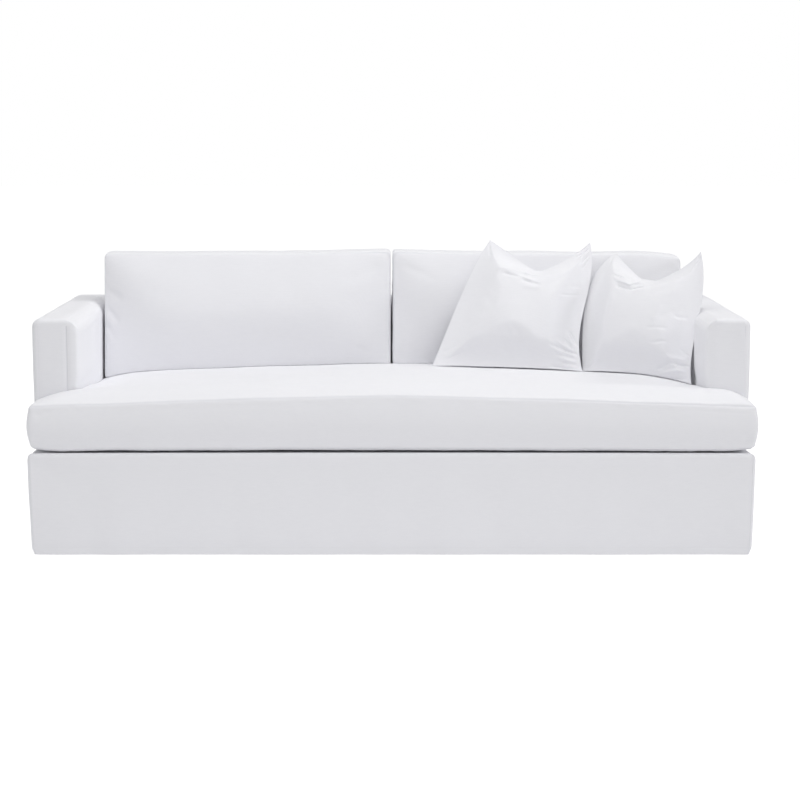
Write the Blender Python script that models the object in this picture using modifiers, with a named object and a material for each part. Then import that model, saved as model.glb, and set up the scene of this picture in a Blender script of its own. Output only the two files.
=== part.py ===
# Sofa slipcover: the fitted cloth cover of a three-seat sofa with square arms, and its covered cushions.
# The frame's cover is a hollow shell of sewn panels, open at the floor. Each cushion is one filled solid.
# Metres, +Z up, +X along the length, the front faces -Y. The origin is on the floor, below the middle.
# Left and right are as seen from the front.

import math

import bmesh
import bpy
from mathutils import Matrix, Vector, noise
from mathutils.bvhtree import BVHTree

# Driving sizes of the fitted cover
COVER_WIDTH = 2.28
COVER_FRONT = -0.488
COVER_BACK = 0.5
DECK_HEIGHT = 0.318
RAIL_HEIGHT = 0.731
ARM_WIDTH = 0.14
EAR_DEPTH = 0.134
BACK_FACE_AT_DECK = 0.312
BACK_RECLINE = 0.05
EDGE_RADIUS = 0.018
CORNER_RADIUS = 0.01
CLOTH = 0.0025
SEAM_GAP = 0.0004
SKIRT_TAPER = 0.004
HEM_HEIGHT = 0.02
CELL = 0.17  # size of the panels' faces
WAVE_DEPTH = 0.0025
WAVES_PER_METRE = 4.5
HEM_WAVE_DEPTH = 0.004
HEM_WAVES_PER_METRE = 7
FREE_CLOTH_HEIGHT = 0.25  # from the floor up to where the cloth lies on the frame

# Driving sizes of the seat cushion
SEAT_HALF_LENGTH = 1.139
SEAT_FRONT = -0.5
SEAT_SEAM_AT_END = 0.468
SEAT_SEAM_RISE = 0.037
SEAT_TILT = 0.004
SEAT_CROWN = 0.037
CROWN_REACH = 0.23
EAR_REACH = 0.15  # how far behind the arm front the ears' fullness fades
SEAT_SAG = 0.016
SAG_START = -0.15
SAG_END = 0.1
FRONT_LIFT = 0.013
FRONT_ARCH = 0.011
END_LIFT = 0.018
RIGHT_EAR_FULLNESS = 0.014
SEAT_BULGE = 0.008
SEAM_CREASE = 0.55
SEAM_LOOP = 0.02  # edge loops beside the seams of a cushion's cage
CROWN_LOOP = 0.07
NOTCH_LOOP = 0.015
SEAT_CUTS_ACROSS = (0.27, 0.53, 0.8)
SEAT_CUTS_BACK = (-0.2, 0.0, 0.14, 0.27)

# Driving sizes of the back cushions
BACK_CUSHION_TOP = 0.890
INNER_END_RISE = 0.009
INNER_END_REACH = 0.35
BACK_BOXING = 0.14
BACK_CROWN = 0.055
BACK_CROWN_REACH = 0.2
BACK_RIM_CREASE = 0.5
BACK_TOP_TUCK = 0.006
BACK_TUCK_REACH = 0.05
BACK_LOOPS = (0.03, 0.12)  # edge loops from each end of the cage
BACK_CELL = 0.19
BACK_CUTS_UP = (0.07, 0.28, 0.52, 0.75, 0.93)
CUSHION_PARTING = 0.006
LEFT_CUSHION_INSET = 0.008

# Driving sizes of the scatter cushions
SCATTER_THICKNESS = 0.15
SCATTER_RIM_CREASE = 0.85
SCATTER_CUTS_UP = (0.06, 0.2, 0.36, 0.5, 0.64, 0.8, 0.94)
NOTCH_HALF_WIDTH = 0.13  # as a share of the width
DENT_FLATNESS = 0.55  # how much of the filling leaves the pressed-in place

REST_GAP = 0.0009  # a soft face on the seat, so that the facets of both stay clear of each other
LEAN_GAP = 0.0015  # a soft face on the more strongly curved back cushions
FLAT_GAP = 0.0004  # flat faces that touch

half_width = COVER_WIDTH / 2
arm_inner = half_width - ARM_WIDTH
arm_front = COVER_FRONT + EAR_DEPTH

# Where the maker's seams run, each on a flat stretch just past a rounded edge
apron_seam = COVER_FRONT + EDGE_RADIUS + 0.002
end_seam = half_width - EDGE_RADIUS - 0.003
inner_seam = arm_inner + 0.031
rail_seam = RAIL_HEIGHT - EDGE_RADIUS - 0.004
wall_foot = DECK_HEIGHT + SEAM_GAP


def clear_scene():
    for existing in list(bpy.data.objects):
        bpy.data.objects.remove(existing)


def make_cloth(name, color):
    material = bpy.data.materials.new(name)
    material.use_nodes = True
    shader = material.node_tree.nodes["Principled BSDF"]
    shader.inputs["Base Color"].default_value = (*color, 1.0)
    shader.inputs["Roughness"].default_value = 0.9
    shader.inputs["Metallic"].default_value = 0.0
    return material


def add_piece(bm, name, color):
    """Gives the mesh an object of its own name, in the cover's collection, with its own cloth."""
    mesh = bpy.data.meshes.new(name)
    bmesh.ops.recalc_face_normals(bm, faces=bm.faces[:])
    if bm.calc_volume(signed=True) < 0:
        bmesh.ops.reverse_faces(bm, faces=bm.faces[:])
    bm.to_mesh(mesh)
    bm.free()
    mesh.shade_smooth()
    mesh.set_sharp_from_angle(angle=math.radians(50))
    mesh.materials.append(make_cloth(f"{name}_cloth", color))
    piece = bpy.data.objects.new(name, mesh)
    cover_pieces.objects.link(piece)
    piece.parent = cover_root
    return piece


def box_mesh(low, high):
    """A box primitive between two corners."""
    bm = bmesh.new()
    low, high = Vector(low), Vector(high)
    place = Matrix.Translation((low + high) / 2) @ Matrix.Diagonal((*(high - low), 1.0))
    bmesh.ops.create_cube(bm, size=1.0, matrix=place)
    return bm


def cut(bm, axis, value, faces=None):
    """Cuts some faces, or the whole mesh, at a plane across the axis."""
    faces = bm.faces[:] if faces is None else faces
    edges = {edge for face in faces for edge in face.edges}
    verts = {vert for face in faces for vert in face.verts}
    point = Vector((0, 0, 0))
    normal = Vector((0, 0, 0))
    point[axis] = value
    normal[axis] = 1
    bmesh.ops.bisect_plane(bm, geom=[*verts, *edges, *faces], dist=1e-6, plane_co=point, plane_no=normal)


def cut_evenly(bm, axis, low, high, step):
    """Cuts the mesh into strips of about one step between two places on the axis."""
    count = max(1, round((high - low) / step))
    for index in range(1, count):
        cut(bm, axis, low + (high - low) * index / count)


def extrude(bm, faces, move):
    """Draws a region of faces out and takes the ones it started from away. Gives the moved points."""
    grown = bmesh.ops.extrude_face_region(bm, geom=faces)["geom"]
    moved = [item for item in grown if isinstance(item, bmesh.types.BMVert)]
    bmesh.ops.translate(bm, verts=moved, vec=move)
    bmesh.ops.delete(bm, geom=[face for face in faces if face.is_valid], context="FACES")
    return moved


def smooth_step(low, high, value):
    share = min(max((value - low) / (high - low), 0.0), 1.0)
    return share * share * (3 - 2 * share)


def rise_from_edge(distance, reach):
    """A crown's height, 0 at its edge and 1 from the reach inwards, steepest at the edge."""
    left = 1 - min(max(distance / reach, 0.0), 1.0)
    return 1 - left * left


# The fitted cover


def is_front_corner(edge):
    """True on the upright edge at each front corner of the base."""
    ends = [vert.co for vert in edge.verts]
    return all(abs(end.y - COVER_FRONT) < 1e-5 and abs(end.x) > half_width - 1e-5 for end in ends)


def round_edges(bm, chosen, radius, segments):
    """Rounds the chosen convex edges, apart from those on the floor."""
    picked = []
    for edge in bm.edges:
        on_floor = all(vert.co.z < 1e-5 for vert in edge.verts)
        convex = len(edge.link_faces) == 2 and edge.calc_face_angle_signed() > 0.6
        if convex and not on_floor and chosen(edge):
            picked.append(edge)
    bmesh.ops.bevel(
        bm, geom=picked, offset=radius, segments=segments, profile=0.5, affect="EDGES", clamp_overlap=True
    )


def covered_frame():
    """The skin of the covered frame: base, arms and leaning inside back, edges rounded, open at the floor."""
    bm = box_mesh((-half_width, COVER_FRONT, 0), (half_width, COVER_BACK, DECK_HEIGHT))
    for value in (-arm_inner, arm_inner):
        cut(bm, 0, value)
    for value in (arm_front, BACK_FACE_AT_DECK):
        cut(bm, 1, value)
    raised = []
    for face in bm.faces:
        middle = face.calc_center_median()
        over_arm = abs(middle.x) > arm_inner and middle.y > arm_front
        if face.normal.z > 0.9 and (over_arm or middle.y > BACK_FACE_AT_DECK):
            raised.append(face)
    for vert in extrude(bm, raised, (0, 0, RAIL_HEIGHT - DECK_HEIGHT)):
        if abs(vert.co.y - BACK_FACE_AT_DECK) < 1e-5 and abs(vert.co.x) < arm_inner + 1e-5:
            vert.co.y += BACK_RECLINE
    bmesh.ops.dissolve_limit(bm, angle_limit=0.001, verts=bm.verts[:], edges=bm.edges[:])
    bm.normal_update()
    round_edges(bm, lambda edge: not is_front_corner(edge), EDGE_RADIUS, 3)
    bm.normal_update()
    round_edges(bm, is_front_corner, CORNER_RADIUS, 2)
    bm.normal_update()
    floor_faces = [face for face in bm.faces if face.normal.z < -0.9]
    bmesh.ops.delete(bm, geom=floor_faces, context="FACES")
    return bm


def part_at_seam(bm, axis, low, high, crossed):
    """Cuts the crossed faces on both sides of a seam and takes the sliver between the two cuts out."""
    for value in (low, high):
        cut(bm, axis, value, [face for face in bm.faces if crossed(face)])
    slivers = []
    for face in bm.faces:
        middle = face.calc_center_median()
        if min(low, high) < middle[axis] < max(low, high) and crossed(face):
            slivers.append(face)
    bmesh.ops.delete(bm, geom=slivers, context="FACES")


def on_base_front(face):
    middle = face.calc_center_median()
    at_deck = face.normal.z > 0.9 and abs(middle.z - DECK_HEIGHT) < 1e-4
    on_base = middle.y < arm_front and middle.z < DECK_HEIGHT + 1e-4
    return on_base and (at_deck or middle.y < apron_seam + 0.001)


def on_deck(face):
    return face.normal.z > 0.9 and abs(face.calc_center_median().z - DECK_HEIGHT) < 1e-4


def on_arm_front(face):
    middle = face.calc_center_median()
    return face.normal.y < -0.9 and abs(middle.y - arm_front) < 1e-4 and middle.z > DECK_HEIGHT


def on_outside_back(face):
    middle = face.calc_center_median()
    return face.normal.y > 0.9 and middle.y > COVER_BACK - 1e-4 and middle.z < rail_seam


def below_rail(face):
    """The faces that the rail seam crosses: all outer ones, and the arm fronts up to their inner seam."""
    middle = face.calc_center_median()
    outside = abs(middle.x) > inner_seam or middle.y > COVER_BACK - 1e-3
    return outside and middle.z > DECK_HEIGHT


def foot_of_wall(face):
    middle = face.calc_center_median()
    inside = abs(middle.x) < end_seam and middle.y < COVER_BACK - 0.05
    return inside and middle.z > DECK_HEIGHT + 1e-5


def over_inside_back(face):
    middle = face.calc_center_median()
    above = middle.z > rail_seam or middle.y < COVER_BACK - 0.05
    return middle.y > BACK_FACE_AT_DECK - 1e-3 and middle.z > DECK_HEIGHT + 1e-5 and above


def sew_seams(bm):
    """Parts the skin along the maker's seams."""
    gap = SEAM_GAP / 2
    part_at_seam(bm, 2, rail_seam - gap, rail_seam + gap, below_rail)
    part_at_seam(bm, 1, apron_seam - gap, apron_seam + gap, on_deck)
    for side in (-1, 1):
        part_at_seam(bm, 0, side * (end_seam - gap), side * (end_seam + gap), on_base_front)
        part_at_seam(bm, 0, side * (end_seam - gap), side * (end_seam + gap), on_arm_front)
        part_at_seam(bm, 0, side * (end_seam - gap), side * (end_seam + gap), on_outside_back)
        part_at_seam(bm, 0, side * (inner_seam - gap), side * (inner_seam + gap), on_arm_front)
        part_at_seam(bm, 0, side * (arm_inner - SEAM_GAP), side * arm_inner, over_inside_back)
    part_at_seam(bm, 2, DECK_HEIGHT, wall_foot, foot_of_wall)


def drape(bm):
    """Draws the skirt in towards the hem and gives the free cloth its shallow waves, all of them inwards."""
    bm.normal_update()
    moves = {}
    for vert in bm.verts:
        place = vert.co
        inside = abs(place.x) < arm_inner + EDGE_RADIUS / 2 and place.y < COVER_BACK - 0.05
        if place.z > DECK_HEIGHT - 1e-4 and (inside or place.y < arm_front):
            continue
        ripple = 0.5 + 0.5 * noise.noise(place * WAVES_PER_METRE)
        if place.y < arm_front + 0.05:
            ripple *= 1 - smooth_step(FREE_CLOTH_HEIGHT, DECK_HEIGHT - EDGE_RADIUS - 0.01, place.z)
        sway = 0.5 + 0.5 * noise.noise(Vector((place.x, place.y, 0)) * HEM_WAVES_PER_METRE)
        low = 1 - smooth_step(0, FREE_CLOTH_HEIGHT, place.z)
        outward = Vector((vert.normal.x, vert.normal.y, vert.normal.z if place.z > 1.5 * HEM_HEIGHT else 0))
        move = -outward * (WAVE_DEPTH * ripple + HEM_WAVE_DEPTH * sway * low)
        side = math.copysign(1, place.x)
        if place.z < DECK_HEIGHT:
            near_end = smooth_step(arm_inner, half_width, abs(place.x))
            move.x -= side * SKIRT_TAPER * (1 - place.z / DECK_HEIGHT) * near_end
        if place.y < COVER_FRONT + 0.03 and place.z < HEM_HEIGHT / 2:
            move.x -= side * HEM_HEIGHT / 2 * smooth_step(half_width - 0.04, half_width, abs(place.x))
        moves[vert] = move
    for vert, move in moves.items():
        vert.co += move


def panel_name(face):
    """The maker's panel that a face belongs to."""
    middle = face.calc_center_median()
    across = abs(middle.x)
    side = "left" if middle.x < 0 else "right"
    base_front = middle.y < apron_seam and middle.z < DECK_HEIGHT + 1e-3
    if base_front and across < end_seam:
        return "front_apron"
    if face.normal.z > 0.9 and abs(middle.z - DECK_HEIGHT) < 2e-3 and across < end_seam:
        return "deck"
    inside = middle.y < COVER_BACK - 0.03 or middle.z > rail_seam
    if inside and across < arm_inner and middle.z > DECK_HEIGHT:
        return "inside_back"
    if face.normal.y > 0.9 and middle.y > COVER_BACK - 0.012 and across < end_seam and middle.z < rail_seam:
        return "outside_back"
    at_arm_front = face.normal.y < -0.9 and abs(middle.y - arm_front) < 0.012 and middle.z > DECK_HEIGHT
    if at_arm_front and inner_seam < across < end_seam and middle.z < rail_seam:
        return f"arm_front_{side}"
    if middle.z > rail_seam or (across < inner_seam and middle.z > DECK_HEIGHT):
        return f"arm_wrap_{side}"
    return f"outside_arm_{side}"


def fitted_cover():
    """Cuts the skin into its panels and gives each the cloth's thickness, inwards."""
    skin = covered_frame()
    cut_evenly(skin, 0, -arm_inner, arm_inner, CELL)
    cut_evenly(skin, 1, arm_front, COVER_BACK, CELL)
    cut_evenly(skin, 2, DECK_HEIGHT, RAIL_HEIGHT, CELL)
    for value in (HEM_HEIGHT, DECK_HEIGHT / 2):
        cut(skin, 2, value)
    cut(skin, 1, arm_front - EDGE_RADIUS, [face for face in skin.faces if on_deck(face)])
    for side in (-1, 1):
        cut(skin, 0, side * inner_seam, [face for face in skin.faces if on_deck(face)])
    sew_seams(skin)
    names = {}
    skin.faces.index_update()
    for face in skin.faces:
        names.setdefault(panel_name(face), []).append(face.index)
    drape(skin)
    for name in sorted(names):
        panel = skin.copy()
        panel.faces.ensure_lookup_table()
        kept = set(names[name])
        others = [face for face in panel.faces if face.index not in kept]
        bmesh.ops.delete(panel, geom=others, context="FACES")
        mesh = bpy.data.meshes.new(name)
        panel.to_mesh(mesh)
        panel.free()
        mesh.shade_smooth()
        mesh.materials.append(make_cloth(f"{name}_cloth", (0.84, 0.84, 0.86)))
        piece = bpy.data.objects.new(name, mesh)
        cover_pieces.objects.link(piece)
        piece.parent = cover_root
        cloth = piece.modifiers.new("cloth thickness", "SOLIDIFY")
        cloth.thickness = CLOTH
        cloth.offset = -1
    skin.free()


# The cushions


def softened(cage, levels):
    """The cage's subdivision surface, as a mesh of its own."""
    mesh = bpy.data.meshes.new("cage")
    bmesh.ops.recalc_face_normals(cage, faces=cage.faces[:])
    cage.to_mesh(mesh)
    cage.free()
    holder = bpy.data.objects.new("cage", mesh)
    bpy.context.scene.collection.objects.link(holder)
    surface = holder.modifiers.new("soft form", "SUBSURF")
    surface.levels = levels
    surface.render_levels = levels
    soft = bmesh.new()
    soft.from_object(holder, bpy.context.evaluated_depsgraph_get())
    bpy.data.objects.remove(holder)
    bpy.data.meshes.remove(mesh)
    return soft


def crease(bm, chosen, strength):
    """Holds the chosen edges of a cage firm, as a sewn seam does."""
    layer = bm.edges.layers.float.get("crease_edge") or bm.edges.layers.float.new("crease_edge")
    for edge in bm.edges:
        if chosen(edge):
            edge[layer] = strength


def clear_of(bm, neighbour, direction, gap):
    """Pushes a soft form back out of its neighbour, against a direction, until the gap is free."""
    tree = BVHTree.FromBMesh(neighbour)
    direction = Vector(direction)
    for vert in bm.verts:
        start = vert.co - direction * 2
        hit = tree.ray_cast(start, direction)[0]
        if hit is not None:
            beyond = (vert.co - hit).dot(direction) + gap
            if beyond > 0:
                vert.co -= direction * beyond


def set_on_seat(bm, seat):
    """Lifts a soft form's underside onto the seat cushion, also past the cushion's rear edge."""
    tree = BVHTree.FromBMesh(seat)
    side, rear = arm_inner - 0.01, BACK_FACE_AT_DECK - 0.02
    for vert in bm.verts:
        above = Vector((max(-side, min(side, vert.co.x)), min(rear, vert.co.y), 2))
        hit = tree.ray_cast(above, Vector((0, 0, -1)))[0]
        if hit is not None:
            vert.co.z = max(vert.co.z, hit.z + REST_GAP)


def seat_seam(x):
    return SEAT_SEAM_AT_END + SEAT_SEAM_RISE * (1 - (x / SEAT_HALF_LENGTH) ** 2) + SEAT_TILT * x


def seat_top(x, y):
    """Height of the seat cushion's top: its seam's height, the crown, and the sag below the back cushions."""
    reach_out = SEAT_HALF_LENGTH
    if y > arm_front:
        reach_out = arm_inner + ARM_WIDTH * math.exp(-(y - arm_front) / EAR_REACH)
    inwards = min(reach_out - abs(x), y - SEAT_FRONT, BACK_FACE_AT_DECK - y)
    crown = SEAT_CROWN * rise_from_edge(inwards, CROWN_REACH)
    right_ear = RIGHT_EAR_FULLNESS * smooth_step(arm_inner - 0.02, half_width - 0.05, x)
    return seat_seam(x) + crown + right_ear - SEAT_SAG * smooth_step(SAG_START, SAG_END, y)


def seat_cushion():
    """One T-shaped bench cushion: a boxed form with an ear in front of each arm."""
    side = arm_inner - FLAT_GAP
    notch = arm_front - FLAT_GAP
    cage = box_mesh((-SEAT_HALF_LENGTH, SEAT_FRONT, 0), (SEAT_HALF_LENGTH, notch, 1))
    for value in (-side, side):
        cut(cage, 0, value)
    rear = [face for face in cage.faces if face.normal.y > 0.9 and abs(face.calc_center_median().x) < side]
    extrude(cage, rear, (0, BACK_FACE_AT_DECK - FLAT_GAP - notch, 0))
    ends = (SEAT_HALF_LENGTH - SEAM_LOOP, SEAT_HALF_LENGTH - CROWN_LOOP, side + NOTCH_LOOP, side - NOTCH_LOOP)
    for value in (*ends, *SEAT_CUTS_ACROSS):
        cut(cage, 0, value)
        cut(cage, 0, -value)
    cut(cage, 0, 0)
    fronts = (SEAT_FRONT + SEAM_LOOP, SEAT_FRONT + CROWN_LOOP, notch - NOTCH_LOOP, notch, notch + NOTCH_LOOP)
    for value in (*fronts, *SEAT_CUTS_BACK):
        cut(cage, 1, value)
    for value in (0.18, 0.82):
        cut(cage, 2, value)
    cage.normal_update()
    crease(cage, is_boxing_seam, SEAM_CREASE)
    floor = DECK_HEIGHT + FLAT_GAP
    for vert in cage.verts:
        x, y, share = vert.co
        end = smooth_step(SEAT_HALF_LENGTH - 0.08, SEAT_HALF_LENGTH, abs(x))
        front = 1 - smooth_step(SEAT_FRONT, SEAT_FRONT + 0.05, y)
        lift = (FRONT_LIFT + FRONT_ARCH * (1 - (x / SEAT_HALF_LENGTH) ** 2)) * front + END_LIFT * end
        low = floor + (lift if y < notch + 0.001 else 0)
        high = seat_top(x, y)
        vert.co.z = low + share * (high - low)
        if 0.1 < share < 0.9:
            if y < SEAT_FRONT + 0.001:
                vert.co.y -= SEAT_BULGE
            if abs(x) > SEAT_HALF_LENGTH - 0.001:
                vert.co.x += math.copysign(SEAT_BULGE, x)
    for vert in cage.verts:
        vert.co.y += SEAT_BULGE * (1 - smooth_step(SEAT_FRONT - 0.01, SEAT_FRONT + 0.1, vert.co.y))
        inward = SEAT_BULGE * smooth_step(SEAT_HALF_LENGTH - 0.1, SEAT_HALF_LENGTH, abs(vert.co.x))
        vert.co.x -= math.copysign(inward, vert.co.x)
    return softened(cage, 1)


def is_boxing_seam(edge):
    """True on the edges where a cage's top or bottom turns into its boxing."""
    level = abs(edge.verts[0].co.z - edge.verts[1].co.z) < 1e-6
    return level and len(edge.link_faces) == 2 and edge.calc_face_angle() > 1.2


def inside_back_at(z):
    """Where the leaning inside back stands at a height."""
    return BACK_FACE_AT_DECK + BACK_RECLINE * (z - DECK_HEIGHT) / (RAIL_HEIGHT - DECK_HEIGHT)


def back_cushion(low_x, high_x, seat):
    """A boxed back cushion that stands on the seat and leans on the inside back."""
    cage = box_mesh((low_x, 0, 0), (high_x, 1, 1))
    for value in BACK_LOOPS:
        cut(cage, 0, low_x + value)
        cut(cage, 0, high_x - value)
    cut_evenly(cage, 0, low_x + BACK_LOOPS[1], high_x - BACK_LOOPS[1], BACK_CELL)
    for value in BACK_CUTS_UP:
        cut(cage, 2, value)
    for value in (0.2, 0.8):
        cut(cage, 1, value)
    cage.normal_update()
    crease(cage, is_cushion_rim, BACK_RIM_CREASE)
    for vert in cage.verts:
        x, depth, share = vert.co
        foot = seat_top(x, BACK_FACE_AT_DECK - BACK_BOXING / 2)
        height = BACK_CUSHION_TOP + INNER_END_RISE * (1 - smooth_step(0, INNER_END_REACH, abs(x))) - foot
        inwards = min(x - low_x, high_x - x, share * height, (1 - share) * height)
        crown = BACK_CROWN * rise_from_edge(inwards, BACK_CROWN_REACH)
        vert.co.z = foot + share * height
        rear = inside_back_at(vert.co.z) - FLAT_GAP
        front = rear - BACK_BOXING - crown
        vert.co.y = front + depth * (rear - front)
        if 0.1 < depth < 0.9 and share > 0.9:
            vert.co.z += BACK_TOP_TUCK * (1 - rise_from_edge(inwards, BACK_TUCK_REACH))
    soft = softened(cage, 1)
    set_on_seat(soft, seat)
    return soft


def is_cushion_rim(edge):
    """True on the seams round the front and rear faces of an upright cage."""
    ends = [vert.co for vert in edge.verts]
    on_face = all(end.y < 1e-6 for end in ends) or all(end.y > 1 - 1e-6 for end in ends)
    return on_face and len(edge.link_faces) == 2 and edge.calc_face_angle() > 1.2


# The knife edge of each scatter cushion: four points up its left and its right side, from the foot to the
# pointed corner, and where its top edge is pressed in, as a share of its width and of its height
SCATTER_CUSHIONS = {
    "scatter_cushion_left": {
        "left_side": ((0.133, 0.032, 0.52), (0.198, 0.092, 0.67), (0.264, 0.144, 0.82), (0.338, 0.194, 0.944)),
        "right_side": ((0.655, -0.008, 0.5), (0.624, 0.064, 0.655), (0.671, 0.126, 0.788), (0.681, 0.194, 0.936)),
        "dent_place": 0.55,
        "dent_depth": 0.24,
    },
    "scatter_cushion_right": {
        "left_side": ((0.66, 0.085, 0.5), (0.682, 0.143, 0.639), (0.686, 0.184, 0.792), (0.791, 0.228, 0.894)),
        "right_side": ((0.978, -0.153, 0.485), (0.985, -0.148, 0.623), (1.009, -0.138, 0.77), (1.02, -0.088, 0.93)),
        "dent_place": 0.45,
        "dent_depth": 0.24,
    },
}


def along_side(points, share):
    """A point on the smooth curve through four evenly shared points."""
    place = Vector((0, 0, 0))
    for index, point in enumerate(points):
        weight = 1.0
        for other in range(4):
            if other != index:
                weight *= (share * 3 - other) / (index - other)
        place += Vector(point) * weight
    return place


def scatter_cushion(sizes, seat, backs):
    """A knife-edge cushion between its two sides, full in the middle, with a pressed-in top edge."""
    cage = box_mesh((0, 0, -1), (1, 1, 1))
    notch = sizes["dent_place"]
    for value in (0.06, 0.2, notch - NOTCH_HALF_WIDTH, notch, notch + NOTCH_HALF_WIDTH, 0.8, 0.94):
        cut(cage, 0, value)
    for value in SCATTER_CUTS_UP:
        cut(cage, 1, value)
    left, right = sizes["left_side"], sizes["right_side"]
    foot_left, foot_right, top_left = Vector(left[0]), Vector(right[0]), Vector(left[3])
    facing = (foot_right - foot_left).cross(top_left - foot_left).normalized()
    rims = []
    for vert in cage.verts:
        across, up, side = vert.co
        rim = across in (0, 1) or up in (0, 1)
        dent = across / notch if across < notch else (1 - across) / (1 - notch)
        fill = (16 * across * (1 - across) * up * (1 - up)) ** 0.5
        fill *= 1 - DENT_FLATNESS * dent * up**3
        height = up - sizes["dent_depth"] * dent * up**4
        place = along_side(left, height).lerp(along_side(right, height), across)
        vert.co = place if rim else place + facing * (side * SCATTER_THICKNESS / 2 * fill)
        if rim:
            rims.append(vert)
    bmesh.ops.remove_doubles(cage, verts=rims, dist=1e-5)
    seam = {vert for vert in rims if vert.is_valid}
    crease(cage, lambda edge: edge.verts[0] in seam and edge.verts[1] in seam, SCATTER_RIM_CREASE)
    soft = softened(cage, 1)
    set_on_seat(soft, seat)
    for neighbour in backs:
        clear_of(soft, neighbour, (0, 1, 0), LEAN_GAP)
    for vert in soft.verts:
        if vert.co.z < RAIL_HEIGHT + REST_GAP and vert.co.y > arm_front:
            vert.co.x = min(vert.co.x, arm_inner - REST_GAP)
    return soft


def cushions():
    seat = seat_cushion()
    left = back_cushion(-arm_inner + LEFT_CUSHION_INSET, -CUSHION_PARTING / 2, seat)
    right = back_cushion(CUSHION_PARTING / 2, arm_inner - FLAT_GAP, seat)
    for name, sizes in SCATTER_CUSHIONS.items():
        add_piece(scatter_cushion(sizes, seat, (left, right)), name, (0.86, 0.86, 0.88))
    add_piece(left, "back_cushion_left", (0.84, 0.84, 0.86))
    add_piece(right, "back_cushion_right", (0.84, 0.84, 0.86))
    add_piece(seat, "seat_cushion", (0.84, 0.84, 0.86))


clear_scene()
cover_pieces = bpy.data.collections.new("sofa_slipcover")
bpy.context.scene.collection.children.link(cover_pieces)
cover_root = bpy.data.objects.new("sofa_slipcover_root", None)
cover_pieces.objects.link(cover_root)
fitted_cover()
cushions()
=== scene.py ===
# Looks of the sofa slipcover: fitted cover, bench cushion, back cushions and scatter cushions.
# Metres, +Z up, the front faces -Y. Left and right are as seen from the front.
import math

import bmesh
import bpy
import numpy as np
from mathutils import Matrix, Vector, noise
from mathutils.bvhtree import BVHTree


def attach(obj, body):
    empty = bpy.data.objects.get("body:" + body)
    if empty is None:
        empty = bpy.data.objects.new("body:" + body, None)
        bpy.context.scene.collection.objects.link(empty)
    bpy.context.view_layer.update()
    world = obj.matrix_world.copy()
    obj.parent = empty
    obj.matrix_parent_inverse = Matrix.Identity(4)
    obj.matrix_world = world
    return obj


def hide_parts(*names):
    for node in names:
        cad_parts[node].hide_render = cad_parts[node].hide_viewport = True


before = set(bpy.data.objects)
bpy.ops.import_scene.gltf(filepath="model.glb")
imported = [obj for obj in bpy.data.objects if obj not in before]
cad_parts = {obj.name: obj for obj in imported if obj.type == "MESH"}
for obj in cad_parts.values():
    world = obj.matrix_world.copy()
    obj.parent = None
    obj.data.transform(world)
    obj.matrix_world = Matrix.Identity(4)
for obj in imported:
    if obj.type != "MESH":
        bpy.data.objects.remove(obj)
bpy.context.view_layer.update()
print("frame loaded:", len(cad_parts), "nodes")


# Small helpers

closeBy = 0.001  # places nearer than this are taken as one
squareOn = 0.9  # a face whose normal has this share of an axis faces along it
snug = 0.0004  # cloth that touches stays this far apart
seamPaintedShade = 0.5  # how dark a sewn line is painted: painted shade that stands for the shadow in its groove


def pickOnly(obj):
    if bpy.context.mode != "OBJECT":
        bpy.ops.object.mode_set(mode="OBJECT")
    bpy.ops.object.select_all(action="DESELECT")
    obj.select_set(True)
    bpy.context.view_layer.objects.active = obj


def addBox(name, low, high):
    bpy.ops.object.select_all(action="DESELECT")
    middle = [(a + b) / 2 for a, b in zip(low, high)]
    size = [b - a for a, b in zip(low, high)]
    bpy.ops.mesh.primitive_cube_add(size=1, location=middle, scale=size)
    box = bpy.context.active_object
    box.name = name
    bpy.ops.object.transform_apply(location=True, rotation=True, scale=True)
    return box


def cutAt(axis, value):  # in edit mode, through all of the mesh
    point, normal = [0, 0, 0], [0, 0, 0]
    point[axis], normal[axis] = value, 1
    bpy.ops.mesh.select_all(action="SELECT")
    bpy.ops.mesh.bisect(plane_co=point, plane_no=normal)


def cutEvenly(axis, low, high, step):
    count = max(1, round((high - low) / step))
    for index in range(1, count):
        cutAt(axis, low + (high - low) * index / count)


def selectFaces(obj, wanted):  # in edit mode
    bpy.ops.mesh.select_mode(type="FACE")
    bpy.ops.mesh.select_all(action="DESELECT")
    bm = bmesh.from_edit_mesh(obj.data)
    bm.normal_update()
    for face in bm.faces:
        if wanted(face.calc_center_median(), face.normal):
            face.select = True
    bm.select_flush_mode()
    bmesh.update_edit_mesh(obj.data)


def finishWith(obj, kind, **settings):
    pickOnly(obj)
    modifier = obj.modifiers.new(kind.lower(), kind)
    for key, value in settings.items():
        setattr(modifier, key, value)
    bpy.ops.object.modifier_apply(modifier=modifier.name)


def smoothByAngle(obj, degrees):
    pickOnly(obj)
    bpy.ops.object.shade_smooth_by_angle(angle=math.radians(degrees))


def pointsOf(mesh):
    points = np.zeros(len(mesh.vertices) * 3, np.float64)
    normals = np.zeros(len(mesh.vertices) * 3, np.float64)
    mesh.vertices.foreach_get("co", points)
    mesh.vertices.foreach_get("normal", normals)
    return points.reshape(-1, 3), normals.reshape(-1, 3)


def setPoints(mesh, points):
    mesh.vertices.foreach_set("co", points.ravel())
    mesh.update()


def smoothStep(low, high, value):
    share = np.clip((value - low) / (high - low), 0, 1)
    return share * share * (3 - 2 * share)


def riseFromEdge(distance, reach):  # a crown's height, steepest at its edge
    left = 1 - np.clip(distance / reach, 0, 1)
    return 1 - left * left


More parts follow.
